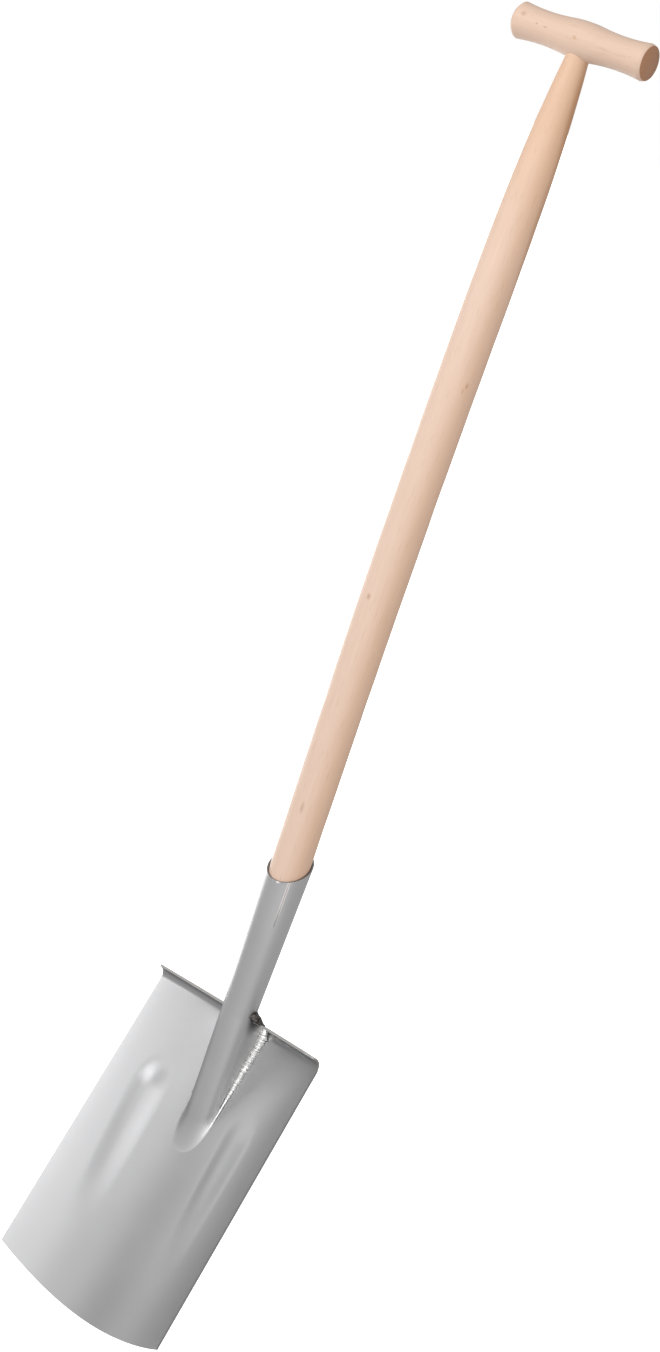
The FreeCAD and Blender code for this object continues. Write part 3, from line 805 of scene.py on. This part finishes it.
shaftWood = turnedBeech(
    "varnished beech, shaft", ["#d6bcab", "#cfb4a1", "#c9ab97", "#aa876c"], 2,
    [
        (atShaftFace(599, 58), (2.0, 2.0, 4.0), "#8f6a4e", 0.45),          # a double knot
        (atShaftFace(594, 51), (1.5, 1.5, 4.0), "#a07a60", 0.35),
        (atShaftFace(406, -5), (3.0, 3.0, 4.0), "#a07a60", 0.50),
        (atShaftFace(212, 8), (2.5, 2.5, 8.0), "#a07a60", 0.40),
        (atShaftFace(830, 103), (10.0, 10.0, 85.0), "#8a5026", 0.75),      # painted shade down the right side
        (atShaftFace(735, 106), (9.0, 9.0, 80.0), "#8a5026", 0.45),
    ],
    shadeTints=[
        (2, foldUp + 680 * mm, foldUp + 850 * mm, "#c99a6e", 0.40),        # painted shade up the taper, under the grip
        (0, 3 * mm, 18 * mm, "#cd9460", 0.28),                             # painted shade towards the right side, away from the light
    ])
shape = wrapGrid(shaft["round"], shaft["along"], shaftPoint)
closeUp(shape)
makePiece("shaftWood", shape, shaftWood, ["shaft"])
print("shaft done")

# The grip: turned across the shaft, waisted on both sides of its middle.
grip = {
    "up": 888.0,
    "half": 63.4,
    "leftEnd": [(-63.4, 0.0), (-63.4, 11.8), (-63.2, 12.4), (-60.8, 14.7)],    # along it, and the radius
    "rightEnd": [(60.2, 15.2), (63.15, 14.25), (63.4, 14.0), (63.4, 0.0)],
    "shoulder": 60.2,
    "shoulderRadius": 15.2,
    "bulge": 15.0,
    "bulgeRadius": 14.88,
    "waistCurve": 176.0,
    "bulgeCurve": 125.0,
    "steps": 96,
    "waistSteps": 26,
    "bulgeSteps": 14,
}
gripUp = foldUp + grip["up"] * mm


# Height of a shallow arc between two points of a turned outline: side 1 swells and -1 is hollow.
def arcRadius(x, low, high, atLow, atHigh, curve, side):
    run = high - low
    rise = atHigh - atLow
    chord = math.hypot(run, rise)
    depth = math.sqrt(curve ** 2 - chord ** 2 / 4)
    centreX = (low + high) / 2 + side * depth * rise / chord
    centreY = (atLow + atHigh) / 2 - side * depth * run / chord
    return centreY + side * math.sqrt(curve ** 2 - (x - centreX) ** 2)


def gripOutline():
    bulge, shoulder = grip["bulge"], grip["shoulder"]
    bulgeRadius, shoulderRadius = grip["bulgeRadius"], grip["shoulderRadius"]
    stretches = [
        (-shoulder, -bulge, shoulderRadius, bulgeRadius, grip["waistCurve"], -1, grip["waistSteps"]),
        (-bulge, bulge, bulgeRadius, bulgeRadius, grip["bulgeCurve"], 1, grip["bulgeSteps"]),
        (bulge, shoulder, bulgeRadius, shoulderRadius, grip["waistCurve"], -1, grip["waistSteps"]),
    ]
    points = list(grip["leftEnd"])
    for low, high, atLow, atHigh, curve, side, steps in stretches:
        for step in range(steps):
            x = mix(low, high, step / steps)
            points.append((x, arcRadius(x, low, high, atLow, atHigh, curve, side)))
    return points + grip["rightEnd"]


def onGrip(x, y, up):
    return Vector((x * mm, y * mm, gripUp + up * mm))


gripAxis = Vector((0, axisBack, gripUp))
shape = bmesh.new()
verts = [shape.verts.new(gripAxis + Vector((x * mm, 0, radius * mm))) for x, radius in gripOutline()]
for low, high in zip(verts, verts[1:]):
    shape.edges.new((low, high))
bmesh.ops.spin(shape, geom=shape.verts[:] + shape.edges[:], cent=gripAxis, axis=(1, 0, 0),
               angle=2 * math.pi, steps=grip["steps"], use_merge=True)
closeUp(shape)
# The grip's beech is a slightly darker copy of the shaft's; the difference is painted shade.
gripWood = turnedBeech(
    "varnished beech, grip", ["#d1b6a4", "#caae9a", "#c4a590", "#a78467"], 0,
    [
        (onGrip(-53.0, -6.0, 5.5), (3.5, 4.0, 3.5), "#a98570", 0.55),      # a knot near the left end
        (onGrip(-38.5, -6.3, 1.0), (2.0, 4.0, 1.2), "#8f7058", 0.55),
        (onGrip(-30.0, -6.3, 0.5), (3.0, 4.0, 1.2), "#8f7058", 0.50),
        (onGrip(26.0, -6.3, -1.0), (6.0, 4.0, 0.7), "#a98570", 0.35),      # two thin streaks
        (onGrip(46.0, -6.3, -1.5), (5.0, 4.0, 0.6), "#a98570", 0.35),
    ],
    endGrain=(grip["half"], "#b28465", "#92664a"))
makePiece("gripWood", shape, gripWood, ["grip"])
print("grip done")

# Fixings: the nail through the grip and the screw in the back of the socket.
screwSteel = weldMetal("zinc-plated steel", "#b4b2ad", "#8b8883", 0.4, 0.6)
nailSteel = weldMetal("oxidised wire nail", "#c9ab94", "#a98a72", 0.6, 0.5)
for node, steel in (("grip_nail", nailSteel), ("socket_screw", screwSteel)):
    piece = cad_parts[node]
    piece.data.materials.clear()
    piece.data.materials.append(steel)
print("fixings done")

# The studio: a lit white table, a camera turned a little on its side, and soft round lamps.
studio = {
    "aim": (-0.0764, 0.0951, -0.2147),         # metres, as are the distances
    "distance": 2.3309,
    "azimuth": 30.22,
    "elevation": 13.70,
    "roll": 19.41,
    "lens": 69.23,
    "floorDrop": 0.02,
    "floorHalf": 60.0,
    "fill": 0.60,
    "lampAim": (0.0, 0.0, -0.2),
    "lampAway": 2.6,
}


def lookFrom(azimuth, elevation):
    turn, rise = math.radians(azimuth), math.radians(elevation)
    return Vector((math.sin(turn) * math.cos(rise), -math.cos(turn) * math.cos(rise), math.sin(rise)))


floorMesh = bpy.data.meshes.new("studioFloor")
shape = bmesh.new()
bmesh.ops.create_grid(shape, x_segments=1, y_segments=1, size=studio["floorHalf"])
bmesh.ops.translate(shape, verts=shape.verts, vec=(0, 0, cadBox[0].z - studio["floorDrop"]))
shape.to_mesh(floorMesh)
shape.free()
floor = bpy.data.objects.new("studioFloor", floorMesh)
scene.collection.objects.link(floor)
floorPaint, tree, shader = newMaterial("opal acrylic light table")     # lit from below, so evenly pale
shader.inputs["Base Color"].default_value = linear("#f4f4f4")
shader.inputs["Roughness"].default_value = 0.9
shader.inputs["Emission Color"].default_value = (1.0, 1.0, 1.0, 1.0)
shader.inputs["Emission Strength"].default_value = 1.0
floorMesh.materials.append(floorPaint)
floor.visible_diffuse = False
floor.visible_glossy = False
floor.visible_shadow = False

backward = lookFrom(studio["azimuth"], studio["elevation"])
camera = bpy.data.objects.new("camera", bpy.data.cameras.new("camera"))
scene.collection.objects.link(camera)
camera.data.sensor_fit = "VERTICAL"
camera.data.sensor_height = 36.0
camera.data.lens = studio["lens"]
camera.data.clip_end = 200.0
camera.location = Vector(studio["aim"]) + backward * studio["distance"]
roll = Matrix.Rotation(math.radians(studio["roll"]), 3, "Z")
camera.rotation_euler = (backward.to_track_quat("Z", "Y").to_matrix() @ roll).to_euler()
scene.camera = camera

lamps = {
    "front": {"azimuth": -10, "elevation": 35, "size": 1.4, "power": 19.0},
    "left": {"azimuth": -40, "elevation": 35, "size": 1.4, "power": 15.0},
    "low": {"azimuth": 20, "elevation": 5, "size": 1.4, "power": 7.8},
    "right": {"azimuth": 50, "elevation": 5, "size": 1.4, "power": 18.0},
    "centre": {"azimuth": -10, "elevation": 5, "size": 1.4, "power": 3.0},
    "leftLow": {"azimuth": -60, "elevation": 5, "size": 1.4, "power": 4.0},
    "behind": {"azimuth": -120, "elevation": -20, "size": 2.4, "power": 38.0},
}
for name, settings in lamps.items():
    lamp = bpy.data.objects.new(name, bpy.data.lights.new(name, "AREA"))
    scene.collection.objects.link(lamp)
    lamp.data.shape = "DISK"
    lamp.data.size = settings["size"]
    lamp.data.energy = settings["power"]
    direction = lookFrom(settings["azimuth"], settings["elevation"])
    lamp.location = Vector(studio["lampAim"]) + direction * studio["lampAway"]
    lamp.rotation_euler = direction.to_track_quat("Z", "Y").to_euler()

world = bpy.data.worlds.new("studio")
world.use_nodes = True
backdrop = world.node_tree.nodes["Background"]
seen = addNode(world.node_tree, "LightPath").outputs["Is Camera Ray"]
level = addNode(world.node_tree, "MapRange", inputs={0: seen, 3: studio["fill"], 4: 1.0}).outputs[0]
backdrop.inputs[0].default_value = (1.0, 1.0, 1.0, 1.0)
world.node_tree.links.new(level, backdrop.inputs[1])
scene.world = world
scene.view_settings.view_transform = "Standard"
print("studio done")
